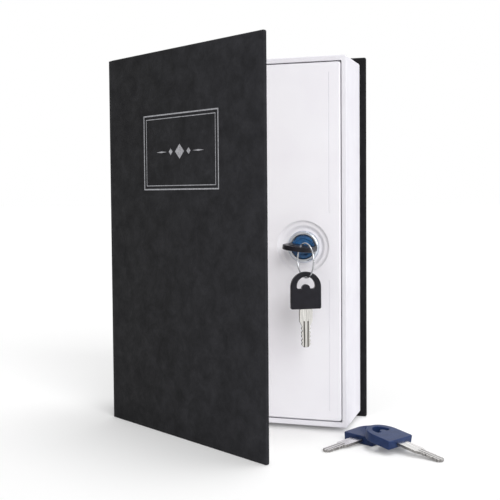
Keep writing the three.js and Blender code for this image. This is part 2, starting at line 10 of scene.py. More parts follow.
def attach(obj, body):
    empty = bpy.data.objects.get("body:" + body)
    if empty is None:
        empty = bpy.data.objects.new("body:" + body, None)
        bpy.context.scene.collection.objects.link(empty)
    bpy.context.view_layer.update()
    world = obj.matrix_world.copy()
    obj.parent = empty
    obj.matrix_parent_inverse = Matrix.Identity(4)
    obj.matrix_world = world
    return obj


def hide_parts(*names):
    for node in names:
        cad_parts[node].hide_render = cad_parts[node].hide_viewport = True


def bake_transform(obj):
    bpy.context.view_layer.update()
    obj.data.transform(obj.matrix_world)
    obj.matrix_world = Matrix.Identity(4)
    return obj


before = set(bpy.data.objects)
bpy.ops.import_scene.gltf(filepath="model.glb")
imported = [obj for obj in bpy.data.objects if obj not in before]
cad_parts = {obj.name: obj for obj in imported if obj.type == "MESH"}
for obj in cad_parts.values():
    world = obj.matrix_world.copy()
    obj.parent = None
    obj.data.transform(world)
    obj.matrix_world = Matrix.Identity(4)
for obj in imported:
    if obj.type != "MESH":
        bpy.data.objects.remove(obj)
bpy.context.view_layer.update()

MM = 0.001
TURN = 2 * math.pi

# Sizes and places in millimetres and turns in degrees, as in the solids.
# A rectangle in X and Z is given as left, right, foot and head.

# Boards, measured from the axis of their cloth joint
BOOK_HEIGHT = 240
BOARD = 2.6
BOARD_START = 1.6
SPINE_LENGTH = 49.9
COVER_LENGTH = 153.7
SPINE_SWING = 10.5
COVER_OPENING = 32
BACK_AXIS = Vector((-76.2, 0, 0))

# Page block and lid, whose fronts are level
FACE = -47.6
BLOCK = (-74.3, 73.5, 3, 236)
BLOCK_BACK = -1.6
LIP = 3.2
LIP_THICKNESS = 1.6
WALL = 1.6
LID = (-69.6, 69.7, 6.8, 232.2)
LID_DEPTH = 6
SHEET = 1

# Fine crease pressed down the lid's face, broken by the dish
CREASE_ENDS = ((13, 96), (138, 226))
CREASE_PLACE = 62.3
CREASE_WIDTH = 0.5
CREASE_FLOOR = 0.3
CREASE_DEPTH = 0.4

# Lock: its axis in X and Z, and its profiles as radius and Y. The dish has its depth below the
# lid's face in place of Y.
LOCK = (45.5, 116.8)
DISH = (
    (17.4, 0), (16.8, 0), (15.8, 0.9), (14.9, 1.15),
    (13.6, 1.2), (12.4, 2.1), (11.7, 2.5), (8.7, 2.5),
)
BARREL = (
    (7.35, -46.9), (7.85, -47.4), (9.3, -47.4), (10.2, -46.5), (10.2, -45.4),
    (8.4, -45.4), (8.4, -21.6), (6.5, -21.6), (6.5, -45.2), (7.35, -45.2),
)
PLUG_FRONT = -47.1
PLUG_FACE = ((7.2, -45.5), (7.2, PLUG_FRONT), (5.4, PLUG_FRONT), (5.1, -46.6), (4.9, -46.6))
PLUG_RADIUS = 6.2
PLUG_BACK = -21.3
KEYWAY = (8.8, 2.2)
KEYWAY_END = -24.2
WAFERS = 5

# Keys. A head is given as length, width and thickness.
KEY_TILT = 7
KEY_STAND_OFF = 0.8
BLACK_HEAD = (22.8, 19, 3)
BLUE_HEAD = (23, 22, 5.2)
HEAD_CORNER = 1
HEAD_EDGE = 0.5
HOLE_RADIUS = 5.9
HOLE_FROM_TOP = 8.9
HOLE_DROP = 1.4
BUMP_RADIUS = 2.6
RING_RADIUS = 10.5
RING_GAP = 0.3
WIRE_RADIUS = 0.5
RING_TURN = math.radians(41)
RING_CENTRE = Vector((52.610, -70.608, 109.892))
SPARE_KEY_TURN = 30
LOOSE_KEYS = (  # body, place of the head's blade end, heading and lean
    ("left_blue_key", (84.1, -70.3, 2.595), 239, 3.56),
    ("right_blue_key", (111.5, -82.3, 5.609), 331, 9.57),
)


# Meshes

class Shell:
    """Vertices in rings, joined by faces. Points are in millimetres."""

    def __init__(self):
        self.points = []
        self.faces = []

    def ring(self, points):
        start = len(self.points)
        self.points.extend(Vector(p) for p in points)
        return list(range(start, len(self.points)))

    def join(self, first, second):
        count = len(first)
        for i in range(count):
            j = (i + 1) % count
            self.faces.append((first[i], first[j], second[j], second[i]))

    def loft(self, rings, closed=False):
        made = [self.ring(r) for r in rings]
        for first, second in zip(made, made[1:]):
            self.join(first, second)
        if closed:
            self.join(made[-1], made[0])
        return made

    def fill(self, *loops):
        """Faces between an outer loop and its holes."""
        order = [i for loop in loops for i in loop]
        for face in tessellate_polygon([[self.points[i] for i in loop] for loop in loops]):
            self.faces.append(tuple(order[i] for i in face))

    def build(self, name, place=Matrix.Identity(4), smooth=35):
        """The finished object. Edges that turn by less than smooth degrees are shaded round."""
        mesh = bpy.data.meshes.new(name)
        mesh.from_pydata([(place @ p) * MM for p in self.points], [], self.faces)
        work = bmesh.new()
        work.from_mesh(mesh)
        bmesh.ops.remove_doubles(work, verts=work.verts, dist=1e-7)
        bmesh.ops.recalc_face_normals(work, faces=work.faces)
        work.to_mesh(mesh)
        work.free()
        mesh.shade_smooth()
        mesh.set_sharp_from_angle(angle=math.radians(smooth))
        made = bpy.data.objects.new(name, mesh)
        bpy.context.collection.objects.link(made)
        weighted = made.modifiers.new("weighted_normals", "WEIGHTED_NORMAL")
        weighted.keep_sharp = True
        return made


def dress(piece, body, material, slot, *nodes):
    """Gives a piece its material, its body and the solids that it stands for."""
    piece.data.materials.clear()
    piece.data.materials.append(material)
    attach(piece, body)
    if nodes:
        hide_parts(*nodes)
    return piece


def refined(node, body, material, slot, bevel, segments=2):
    """A copy of a solid with its flat faces joined and its edges broken."""
    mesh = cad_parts[node].data.copy()
    work = bmesh.new()
    work.from_mesh(mesh)
    bmesh.ops.remove_doubles(work, verts=work.verts, dist=1e-6)
    flat = math.radians(0.6)
    bmesh.ops.dissolve_limit(work, angle_limit=flat, verts=work.verts, edges=work.edges)
    bmesh.ops.recalc_face_normals(work, faces=work.faces)
    work.to_mesh(mesh)
    work.free()
    name = f"{node}_finished"
    mesh.name = name
    mesh.shade_smooth()
    mesh.set_sharp_from_angle(angle=math.radians(30))
    made = bpy.data.objects.new(name, mesh)
    bpy.context.collection.objects.link(made)
    broken = made.modifiers.new("broken_edges", "BEVEL")
    broken.width = bevel * MM
    broken.segments = segments
    broken.limit_method = "ANGLE"
    broken.angle_limit = math.radians(32)
    broken.harden_normals = True
    return dress(made, body, material, slot, node)


def rounded_loop(x0, x1, z0, z1, corner, y, inset=0, steps=6):
    """A rectangle with round corners, at depth y, drawn in from its limits by inset."""
    radius = max(corner - inset, 0.02)
    x0, x1, z0, z1 = x0 + inset, x1 - inset, z0 + inset, z1 - inset
    points = []
    for cx, cz, start in (
        (x1 - radius, z0 + radius, -90),
        (x1 - radius, z1 - radius, 0),
        (x0 + radius, z1 - radius, 90),
        (x0 + radius, z0 + radius, 180),
    ):
        for i in range(steps + 1):
            angle = math.radians(start + 90 * i / steps)
            points.append((cx + radius * math.cos(angle), y, cz + radius * math.sin(angle)))
    return points


def circle(radius, y, count=96):
    """A circle about the lock's axis, at depth y."""
    return [
        (LOCK[0] + radius * math.cos(angle), y, LOCK[1] + radius * math.sin(angle))
        for angle in (TURN * i / count for i in range(count))
    ]


def fillet(start, corner, end, radius):
    """Points of a rounded corner of a profile."""
    steps = 4
    a, b, c = Vector(start), Vector(corner), Vector(end)
    into, out = (b - a), (c - b)
    radius = min(radius, into.length * 0.49, out.length * 0.49)
    first = b - into.normalized() * radius
    last = b + out.normalized() * radius
    points = []
    for i in range(steps + 1):
        t = i / steps
        points.append(tuple((1 - t) ** 2 * first + 2 * t * (1 - t) * b + t ** 2 * last))
    return points


def softened(profile, radius, closed=True):
    """A profile with all its corners rounded."""
    count = len(profile)
    points = []
    for i, corner in enumerate(profile):
        if not closed and i in (0, count - 1):
            points.append(tuple(corner))
            continue
        points.extend(fillet(profile[i - 1], corner, profile[(i + 1) % count], radius))
    return points


def inset_outline(points, distance):
    """A flat outline moved inwards by a distance, and by little over twice that at most."""
    least = 0.45
    moved = []
    count = len(points)
    for i in range(count):
        before, here, after = (Vector(points[j % count]) for j in (i - 1, i, i + 1))
        first, second = (here - before).normalized(), (after - here).normalized()
        normal = Vector((-first.y - second.y, first.x + second.x))
        if normal.length < 1e-6:
            normal = Vector((-first.y, first.x))
        normal.normalize()
        stretch = max(normal.dot(Vector((-first.y, first.x))), least)
        moved.append(tuple(here + normal * distance / stretch))
    return moved


def plate(name, outline, hole, thickness, edge, place):
    """A flat piece in X and Y, its edges rounded. Outlines run anticlockwise, holes clockwise."""
    shell = Shell()
    steps = 4
    levels = []
    for i in range(steps + 1):
        angle = math.radians(90 * i / steps)
        levels.append((-thickness / 2 + edge * (1 - math.sin(angle)), edge * (1 - math.cos(angle))))
    levels = levels[::-1] + [(-z, inset) for z, inset in levels]
    ends = [[], []]
    for loop in (outline, hole):
        rings = [[(x, y, z) for x, y in inset_outline(loop, inset)] for z, inset in levels]
        made = shell.loft(rings)
        ends[0].append(made[0])
        ends[1].append(made[-1])
    shell.fill(*ends[0])
    shell.fill(*ends[1])
    return shell.build(name, place)


# Materials

def linear(colour):
    """Linear colour from an sRGB hex value."""
    channels = [int(colour[i:i + 2], 16) / 255 for i in (1, 3, 5)]
    return *(c / 12.92 if c <= 0.04045 else ((c + 0.055) / 1.055) ** 2.4 for c in channels), 1


def add(tree, kind, settings, **links):
    """One node. Lower-case settings are its options, the others its inputs; stops fill a ramp."""
    made = tree.nodes.new(kind)
    for name, value in settings.items():
        if name == "stops":
            ramp = made.color_ramp
            for _ in range(len(value) - len(ramp.elements)):
                ramp.elements.new(0.5)
            for element, (position, shade) in zip(ramp.elements, value):
                element.position = position
                element.color = linear(shade) if isinstance(shade, str) else (shade,) * 3 + (1,)
        elif isinstance(name, str) and name[0].islower():
            setattr(made, name, value)
        else:
            made.inputs[name].default_value = value
    for name, source in links.items():
        socket = source.outputs[0] if isinstance(source, bpy.types.Node) else source
        key = int(name[5:]) if name.startswith("input") else name.replace("_", " ")
        tree.links.new(socket, made.inputs[key])
    return made


def surface(name, coordinates="Object", **settings):
    """A material with a principled shader, and the coordinates for its patterns."""
    made = bpy.data.materials.new(name)
    made.use_nodes = True
    tree = made.node_tree
    tree.nodes.clear()
    inputs = {key.replace("_", " "): value for key, value in settings.items()}
    shader = add(tree, "ShaderNodeBsdfPrincipled", inputs)
    add(tree, "ShaderNodeOutputMaterial", {}, Surface=shader)
    place = add(tree, "ShaderNodeTexCoord", {}).outputs[coordinates]
    return made, tree, shader, place


def wire_up(tree, shader, **sources):
    """Joins nodes to the inputs of a shader."""
    for name, source in sources.items():
        tree.links.new(source.outputs[0], shader.inputs[name.replace("_", " ")])


def per_millimetre(size):
    """Texture scale at which one cell is that many millimetres."""
    return 1 / (size * MM)


def book_cloth():
    # Black book cloth, acrylic coated and embossed with a leather grain. It is dull, and the blots
    # of its coating show a little lighter and darker. The grain's real pebbles are 0.6 mm, too fine
    # to show, and are drawn at 1.1 mm. Painted light makes the cloth a little lighter towards the
    # front board's fore edge, and a touch darker elsewhere.
    made, tree, shader, place = surface(
        "embossed_book_cloth", Roughness=0.7, IOR=1.5, Specular_IOR_Level=0.13
    )
    blots = add(
        tree, "ShaderNodeTexNoise",
        {"Scale": per_millimetre(11), "Detail": 9, "Roughness": 0.72, "Distortion": 0.3},
        Vector=place,
    )
    # Painted light: lighter from the front board's inner edge towards its fore edge
    across = add(tree, "ShaderNodeSeparateXYZ", {}, Vector=place).outputs["Y"]
    painted_light_to_fore_edge = add(
        tree, "ShaderNodeMapRange",
        {"From Min": -60 * MM, "From Max": -131 * MM, "To Min": -0.04, "To Max": 0.34},
        Value=across,
    )
    tone = add(tree, "ShaderNodeMath", {"operation": "ADD"}, input0=blots, input1=painted_light_to_fore_edge)
    pebbles = add(
        tree, "ShaderNodeTexVoronoi",
        {"feature": "SMOOTH_F1", "Scale": per_millimetre(1.1), "Smoothness": 0.5}, Vector=place,
    )
    creases = add(
        tree, "ShaderNodeTexNoise",
        {"Scale": per_millimetre(0.5), "Detail": 4}, Vector=place,
    )
    shade = add(
        tree, "ShaderNodeValToRGB",
        {"stops": [(0.3, "#141416"), (0.5, "#1a1a1c"), (0.7, "#212124"), (1, "#2c2c30")]}, Fac=tone,
    )
    sheen = add(tree, "ShaderNodeValToRGB", {"stops": [(0.3, 0.8), (0.7, 0.58)]}, Fac=blots)
    fine = add(tree, "ShaderNodeBump", {"Strength": 1, "Distance": 0.035 * MM}, Height=creases)
    grain = add(
        tree, "ShaderNodeBump",
        {"Strength": 1, "Distance": 0.07 * MM}, Height=pebbles, Normal=fine,
    )
    wire_up(tree, shader, Base_Color=shade, Roughness=sheen, Normal=grain)
    return made


def stamped_foil():
    # Silver stamping foil, a vacuum metallised film pressed hot into the cloth, whose grain breaks
    # up its gloss
    made, tree, shader, place = surface("silver_stamping_foil", Metallic=0.9, Roughness=0.38)
    grain = add(
        tree, "ShaderNodeTexNoise",
        {"Scale": per_millimetre(0.7), "Detail": 4}, Vector=place,
    )
    shade = add(
        tree, "ShaderNodeValToRGB",
        {"stops": [(0.3, "#7e7e82"), (0.7, "#b4b4b8")]}, Fac=grain,
    )
    dents = add(tree, "ShaderNodeBump", {"Strength": 1, "Distance": 0.04 * MM}, Height=grain)
    wire_up(tree, shader, Base_Color=shade, Normal=dents)
    return made


def moulded_pages():
    # Injection moulded white ABS, with a satin skin that is a little cloudy where the melt flowed
    made, tree, shader, place = surface(
        "moulded_white_abs", Roughness=0.6, IOR=1.53, Specular_IOR_Level=0.35
    )
    cloud = add(
        tree, "ShaderNodeTexNoise",
        {"Scale": per_millimetre(18), "Detail": 2}, Vector=place,
    )
    skin = add(
        tree, "ShaderNodeTexNoise",
        {"Scale": per_millimetre(0.4), "Detail": 2}, Vector=place,
    )
    shade = add(
        tree, "ShaderNodeValToRGB",
        {"stops": [(0.3, "#e6e4eb"), (0.7, "#ebeaf0")]}, Fac=cloud,
    )
    texture = add(tree, "ShaderNodeBump", {"Strength": 1, "Distance": 0.006 * MM}, Height=skin)
    wire_up(tree, shader, Base_Color=shade, Normal=texture)
    return made


def powder_coat():
    # White polyester powder coat baked on steel sheet: a hard skin with a faint orange peel
    made, tree, shader, place = surface("white_powder_coat", Roughness=0.38, IOR=1.5)
    cloud = add(
        tree, "ShaderNodeTexNoise",
        {"Scale": per_millimetre(30), "Detail": 2}, Vector=place,
    )
    peel = add(
        tree, "ShaderNodeTexNoise",
        {"Scale": per_millimetre(1.6), "Detail": 2}, Vector=place,
    )
    shade = add(
        tree, "ShaderNodeValToRGB",
        {"stops": [(0.3, "#f0eef4"), (0.7, "#f3f2f7")]}, Fac=cloud,
    )
    bumps = add(tree, "ShaderNodeBump", {"Strength": 1, "Distance": 0.012 * MM}, Height=peel)
    wire_up(tree, shader, Base_Color=shade, Normal=bumps)
    return made


def bare_metal(name, dark, light, roughness, grain, depth):
    """A metal whose tone, gloss and height drift, over patches of a grain in millimetres."""
    made, tree, shader, place = surface(name, Metallic=1)
    flow = add(
        tree, "ShaderNodeTexNoise",
        {"Scale": per_millimetre(grain), "Detail": 4}, Vector=place,
    )
    shade = add(tree, "ShaderNodeValToRGB", {"stops": [(0.3, dark), (0.7, light)]}, Fac=flow)
    stops = [(0.3, roughness * 1.3), (0.7, roughness * 0.8)]
    gloss = add(tree, "ShaderNodeValToRGB", {"stops": stops}, Fac=flow)
    marks = add(tree, "ShaderNodeBump", {"Strength": 1, "Distance": depth * MM}, Height=flow)
    wire_up(tree, shader, Base_Color=shade, Roughness=gloss, Normal=marks)
    return made


def key_blank(name, dark, light, roughness):
    """Nickel plate on a key blank, silver with a grey cast. Its streaks run along the blade."""
    made, tree, shader, blade = surface(name, "UV", Metallic=1)
    drawn = add(tree, "ShaderNodeMapping", {"Scale": (1, 0.06, 1)}, Vector=blade)
    streaks = add(
        tree, "ShaderNodeTexNoise",
        {"Scale": per_millimetre(0.7), "Detail": 4}, Vector=drawn,
    )
    shade = add(tree, "ShaderNodeValToRGB", {"stops": [(0.35, dark), (0.65, light)]}, Fac=streaks)
    stops = [(0.3, roughness * 1.3), (0.7, roughness * 0.8)]
    gloss = add(tree, "ShaderNodeValToRGB", {"stops": stops}, Fac=streaks)
    marks = add(tree, "ShaderNodeBump", {"Strength": 1, "Distance": 0.02 * MM}, Height=streaks)
    wire_up(tree, shader, Base_Color=shade, Roughness=gloss, Normal=marks)
    return made


def blue_lacquer():
    # Blue stoving lacquer over the die-cast plug face: a clear glossy skin on a strong colour
    made, tree, shader, place = surface(
        "blue_stoving_lacquer", Roughness=0.34, IOR=1.5, Coat_Weight=0.3, Coat_Roughness=0.15
    )
    flow = add(tree, "ShaderNodeTexNoise", {"Scale": per_millimetre(2), "Detail": 3}, Vector=place)
    shade = add(
        tree, "ShaderNodeValToRGB",
        {"stops": [(0.3, "#133f6c"), (0.7, "#286ca6")]}, Fac=flow,
    )
    sags = add(tree, "ShaderNodeBump", {"Strength": 1, "Distance": 0.01 * MM}, Height=flow)
    wire_up(tree, shader, Base_Color=shade, Normal=sags)
    return made


def spark_textured_plastic(name, dark, light, roughness):
    """Moulded ABS whose mould was spark eroded, which leaves a fine even texture."""
    made, tree, shader, place = surface(name, IOR=1.53, Specular_IOR_Level=0.15)
    cloud = add(tree, "ShaderNodeTexNoise", {"Scale": per_millimetre(4), "Detail": 4}, Vector=place)
    pits = add(
        tree, "ShaderNodeTexNoise",
        {"Scale": per_millimetre(0.35), "Detail": 2}, Vector=place,
    )
    shade = add(tree, "ShaderNodeValToRGB", {"stops": [(0.3, dark), (0.7, light)]}, Fac=cloud)
    stops = [(0.3, roughness + 0.08), (0.7, roughness - 0.08)]
    gloss = add(tree, "ShaderNodeValToRGB", {"stops": stops}, Fac=pits)
    texture = add(tree, "ShaderNodeBump", {"Strength": 1, "Distance": 0.012 * MM}, Height=pits)
    wire_up(tree, shader, Base_Color=shade, Roughness=gloss, Normal=texture)
    return made


def endpaper():
    # Uncoated woodfree paper pasted inside the board: matt, with its fibres just seen
    made, tree, shader, place = surface("uncoated_endpaper", Roughness=0.88, IOR=1.45)
    fibres = add(
        tree, "ShaderNodeTexNoise",
        {"Scale": per_millimetre(1.2), "Detail": 5, "Roughness": 0.7}, Vector=place,
    )
    shade = add(
        tree, "ShaderNodeValToRGB",
        {"stops": [(0.3, "#d8d5cf"), (0.7, "#e4e1db")]}, Fac=fibres,
    )
    tooth = add(tree, "ShaderNodeBump", {"Strength": 1, "Distance": 0.015 * MM}, Height=fibres)
    wire_up(tree, shader, Base_Color=shade, Normal=tooth)
    return made


cloth = book_cloth()
foil = stamped_foil()
pages = moulded_pages()
enamel = powder_coat()
lacquer = blue_lacquer()
paper = endpaper()
# Decorative chrome on the turned barrel: a cold mirror
chrome = bare_metal("decorative_chrome_plate", "#c8ced8", "#dde3ec", 0.1, 3, 0.002)
# Clear passivated zinc on the steel hardware: grey, and duller than chrome
zinc = bare_metal("clear_zinc_plate", "#a4a8ad", "#b8bbc0", 0.34, 0.6, 0.004)
# Brass strip, blanked by a punch that leaves it satin
brass = bare_metal("blanked_brass_strip", "#b3924f", "#c8a862", 0.3, 0.6, 0.004)
nickel = key_blank("nickel_plated_key_blank", "#a9a7a3", "#e0deda", 0.25)
# The blades' steep faces and groove floors are rougher, and darker by painted shade
painted_shade_on_cuts = key_blank("key_cuts_painted_shade", "#4e4c49", "#7b7874", 0.45)
# The two loose keys are plated brighter; their steep faces and groove floors are darker by painted
# shade
bright_nickel = key_blank("bright_nickel_plated_key_blank", "#cfcdcc", "#f6f4f3", 0.2)
bright_painted_shade_on_cuts = key_blank("plated_key_cuts_painted_shade", "#757371", "#aaa8a6", 0.35)
# Nickel plated spring wire, drawn bright
wire = bare_metal("drawn_spring_wire", "#b0b2b6", "#cbced2", 0.18, 0.4, 0.002)
black_abs = spark_textured_plastic("black_abs", "#15141a", "#1c1b22", 0.34)
blue_abs = spark_textured_plastic("blue_abs", "#1f2f55", "#283a63", 0.34)


# Book boards and their cloth

back_place = Matrix.Translation(BACK_AXIS)
spine_place = back_place @ Matrix.Rotation(math.radians(-90 - SPINE_SWING), 4, "Z")
cover_place = (
    spine_place
    @ Matrix.Translation((SPINE_LENGTH, 0, 0))
    @ Matrix.Rotation(math.radians(90 - (COVER_OPENING - SPINE_SWING)), 4, "Z")
)


def wrapped_board(name, end, place):
    """A board wrapped in cloth, with softly rounded edges."""
    shell = Shell()
    corner, edge, steps = 1.2, 0.8, 5
    rings = []
    for side in (-1, 1):
        for i in range(steps + 1):
            angle = math.radians(90 * (i if side > 0 else steps - i) / steps)
            y = side * (BOARD / 2 - edge + edge * math.sin(angle))
            inset = edge * (1 - math.cos(angle))
            rings.append(rounded_loop(BOARD_START, end, 0, BOOK_HEIGHT, corner, y, inset))
    made = shell.loft(rings)
    shell.fill(made[0])
    shell.fill(made[-1])
    return shell.build(name, place)


def cloth_joint(name, place_before, place_after, node):
    """The strip of cloth curved round between two boards, with a shallow valley outside."""
    axis = place_after.translation.copy()
    before = (place_before.to_3x3() @ Vector((1, 0, 0))).normalized()
    after = (place_after.to_3x3() @ Vector((1, 0, 0))).normalized()
    out_before = Vector((before.y, -before.x, 0))
    out_after = Vector((after.y, -after.x, 0))
    reach, skin, valley = 2.3, 1.22, 1.05
    inner_depth, inner_reach = 1.1, 0.9
    section = [axis - before * reach + out_before * skin]
    steps = 10
    for i in range(steps + 1):
        t = i / steps
        direction = (out_before * (1 - t) + out_after * t).normalized()
        section.append(axis + direction * valley)
    section.append(axis + after * reach + out_after * skin)
    section.append(axis + after * reach - out_after * skin)
    middle = (out_before + out_after).normalized()
    section.append(axis - middle * inner_depth + after * inner_reach)
    section.append(axis - middle * inner_depth - before * inner_reach)
    section.append(axis - before * reach - out_before * skin)
    shell = Shell()
    spans = 24
    foot = [0.3, 0.6]
    head = [BOOK_HEIGHT - z for z in reversed(foot)]
    levels = foot + [BOOK_HEIGHT * i / spans for i in range(1, spans)] + head
    made = shell.loft([[(p.x, p.y, z) for p in section] for z in levels])
    shell.fill(made[0])
    shell.fill(made[-1])
    piece = shell.build(name)
    piece.data.materials.append(cloth)
    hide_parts(node)
    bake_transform(piece)


for name, end, place, body, node in (
    ("back_board_wrapped", COVER_LENGTH, back_place, "box", "back_cover"),
    ("spine_board_wrapped", SPINE_LENGTH - BOARD_START, spine_place, "spine", "spine_board"),
    ("front_board_wrapped", COVER_LENGTH, cover_place, "front_cover", "front_cover"),
):
    dress(wrapped_board(name, end, place), body, cloth, "cloth", node)
reversed_back = back_place @ Matrix.Rotation(math.pi, 4, "Z")
cloth_joint("front_joint_cloth", spine_place, cover_place, "front_joint")
cloth_joint("back_joint_cloth", reversed_back, spine_place, "back_joint")


def front_endpaper():
    """Paper pasted inside the front board, with a margin of cloth round it."""
    margin, hinge_margin, corner = 3.5, 0.6, 0.6
    sunk, thickness, edge = 0.1, 0.2, 0.05
    sides = (BOARD_START + hinge_margin, COVER_LENGTH - margin, margin, BOOK_HEIGHT - margin)
    inner = BOARD / 2
    shell = Shell()
    made = shell.loft([
        rounded_loop(*sides, corner, inner - sunk),
        rounded_loop(*sides, corner, inner + thickness - edge),
        rounded_loop(*sides, corner, inner + thickness, edge),
    ])
    shell.fill(made[0])
    shell.fill(made[-1])
    return shell.build("front_endpaper", cover_place)


dress(front_endpaper(), "front_cover", paper, "cloth")


# Foil stamping on the front board

FOIL_FRONT = -BOARD / 2 - 0.05
FOIL_BACK = -BOARD / 2 + 0.05
TITLE = (39.6, 114.6, 153.5, 200.5)


def foil_line(shell, x0, x1, z0, z1, width):
    """A rectangular line of foil."""
    corner = 0.3
    section = ((FOIL_FRONT, 0), (FOIL_FRONT, width), (FOIL_BACK, width), (FOIL_BACK, 0))
    rings = [rounded_loop(x0, x1, z0, z1, corner, y, inset, steps=2) for y, inset in section]
    shell.loft(rings, closed=True)


def foil_shape(shell, points):
    """A closed patch of foil."""
    front = shell.ring([(x, FOIL_FRONT, z) for x, z in points])
    back = shell.ring([(x, FOIL_BACK, z) for x, z in points])
    shell.join(front, back)
    shell.fill(front)
    shell.fill(back)


def lozenge(cx, cz, width, height):
    half, rise = width / 2, height / 2
    return [(cx - half, cz), (cx, cz - rise), (cx + half, cz), (cx, cz + rise)]


def title_stamping():
    """A double frame, with a row of lozenges in its middle."""
    x0, x1, z0, z1 = TITLE
    outer_line, inner_line = 0.8, 0.45
    across, up = 2.7, 2.5
    frames = Shell()
    foil_line(frames, x0, x1, z0, z1, outer_line)
    foil_line(frames, x0 + across, x1 - across, z0 + up, z1 - up, inner_line)
    dress(frames.build("title_frame_foil", cover_place), "front_cover", foil, "cloth")
    ornament = Shell()
    cx, cz = (x0 + x1) / 2, (z0 + z1) / 2
    foil_shape(ornament, lozenge(cx, cz, 9, 9))
    for side in (-1, 1):
        for distance, width, height in ((9, 4, 4), (18.5, 11, 1)):
            foil_shape(ornament, lozenge(cx + side * distance, cz, width, height))
    dress(ornament.build("title_ornament_foil", cover_place), "front_cover", foil, "cloth")


title_stamping()


# Page block, steel box and lid

def page_block():
    """Moulded frame: thin ridges like page edges outside, a lip in front and plain walls inside.

    Its profiles are given as Y and the distance in from the block's sides.
    """
    draw = random.Random(5)
    corner, edge = 1.5, 0.6
    mouth_corner, inner_corner = LIP + 0.8, WALL + 0.2
    ridges = 62
    gap_end, ridge_start, ridge_end = 0.18, 0.42, 0.82
    deep_share, deeper = 0.12, 1.8
    first, last = BLOCK_BACK - 0.6, FACE + 1.2
    pitch = (last - first) / ridges

    outside = [(BLOCK_BACK, 0.5), (BLOCK_BACK - 0.15, 0.15), (first, 0)]
    for i in range(ridges):
        y = first + pitch * i
        depth = draw.uniform(0.1, 0.2) * (deeper if draw.random() < deep_share else 1)
        crown = draw.uniform(0, 0.05)
        outside.append((y + pitch * gap_end, depth))
        outside.append((y + pitch * ridge_start, crown))
        outside.append((y + pitch * ridge_end, crown))
    outside.append((last, 0))
    steps = 4
    for i in range(steps + 1):
        angle = math.radians(90 * i / steps)
        outside.append((FACE + edge * (1 - math.sin(angle)), edge * (1 - math.cos(angle))))
    lip_back = FACE + LIP_THICKNESS
    lip = [(FACE, LIP - 0.3), (FACE + 0.1, LIP - 0.1), (FACE + 0.3, LIP), (lip_back, LIP)]
    inside = [(lip_back, WALL), (BLOCK_BACK, WALL)]

    shell = Shell()
    shell.loft(
        [
            rounded_loop(*BLOCK, radius, y, inset)
            for radius, stretch in ((corner, outside), (mouth_corner, lip), (inner_corner, inside))
            for y, inset in stretch
        ],
        closed=True,
    )
    return shell.build("page_block_moulding", smooth=50)


dress(page_block(), "box", pages, "white_moulding", "page_block")
refined("steel_box", "box", enamel, "white_enamel", bevel=0.25, segments=3)
for node in ("upper_pivot_pin", "lower_pivot_pin", "catch"):
    refined(node, "box", zinc, "zinc_steel", bevel=0.2)


def crease(shell, low, high):
    """The crease's walls and floor. Gives back its mouth, which the lid's face leaves open."""
    half = CREASE_WIDTH / 2
    sides = (CREASE_PLACE - half, CREASE_PLACE + half, low, high)
    inset = half - CREASE_FLOOR / 2
    mouth = shell.ring(rounded_loop(*sides, half, FACE, steps=3))
    floor = shell.ring(rounded_loop(*sides, half, FACE + CREASE_DEPTH, inset, steps=3))
    shell.join(mouth, floor)
    shell.fill(floor)
    return mouth


def lid_pressing():
    """Pan with rolled front edges, the lock's stepped dish and the crease, closed all round."""
    shell = Shell()
    corner, bend, inner_bend, rim_edge, softness = 1.6, 1.1, 0.4, 0.1, 0.5
    rim = FACE + LID_DEPTH
    front = [(rim, SHEET), (rim, rim_edge), (rim - rim_edge, 0)]
    steps = 6
    for i in range(steps + 1):
        angle = math.radians(90 * i / steps)
        front.append((FACE + bend * (1 - math.sin(angle)), bend * (1 - math.cos(angle))))
    back = [(rim, SHEET), (FACE + SHEET + inner_bend, SHEET), (FACE + SHEET, SHEET + inner_bend)]
    made_front, made_back = (
        shell.loft([rounded_loop(*LID, corner, y, inset) for y, inset in stretch])
        for stretch in (front, back)
    )

    # The dish's back is as much wider as the sheet's slope needs, but for the lock's hole
    hole = DISH[-1][0]
    dish_back = [(r + 0.55 if r > hole else r, y + SHEET) for r, y in DISH]
    made_dish, made_dish_back = (
        shell.loft([circle(r, FACE + y) for r, y in softened(profile, softness, closed=False)])
        for profile in (DISH, dish_back)
    )
    creases = [crease(shell, low, high) for low, high in CREASE_ENDS]
    shell.fill(made_front[-1], made_dish[0], *creases)
    shell.join(made_dish[-1], made_dish_back[-1])
    shell.fill(made_back[-1], made_dish_back[0])
    return shell.build("lid_pressing")


dress(lid_pressing(), "lid", enamel, "white_enamel", "lid")


# Lock

def lock_barrel():
    """Bezel and barrel turned in one piece, with the plug's bore."""
    shell = Shell()
    shell.loft([circle(r, y, count=128) for r, y in softened(BARREL, 0.4)], closed=True)
    return shell.build("lock_barrel_turned")


plug_turn = (
    Matrix.Translation((LOCK[0], 0, LOCK[1]))
    @ Matrix.Rotation(math.radians(KEY_TILT), 4, "Y")
    @ Matrix.Translation((-LOCK[0], 0, -LOCK[1]))
)


def lock_plug():
    """Plug face with a raised rim and the keyway's mouth, and the stem behind it."""
    shell = Shell()
    shoulder, recess = PLUG_FACE[0][1], PLUG_FACE[-1][1]
    stem = [(PLUG_RADIUS, PLUG_BACK), (PLUG_RADIUS, shoulder)]
    made = shell.loft([circle(r, y) for r, y in stem + softened(PLUG_FACE, 0.2, closed=False)])
    width, height = KEYWAY
    sides = (LOCK[0] - width / 2, LOCK[0] + width / 2, LOCK[1] - height / 2, LOCK[1] + height / 2)
    corner, flare, flare_depth = 0.3, 0.12, 0.1
    keyway = ((recess, -flare), (recess + flare_depth, 0), (KEYWAY_END, 0))
    made_keyway = shell.loft([
        rounded_loop(*sides, corner, y, inset, steps=3) for y, inset in keyway
    ])
    shell.fill(made[-1], made_keyway[0])
    shell.fill(made_keyway[-1])
    shell.fill(made[0])
    return shell.build("lock_plug_face", plug_turn)


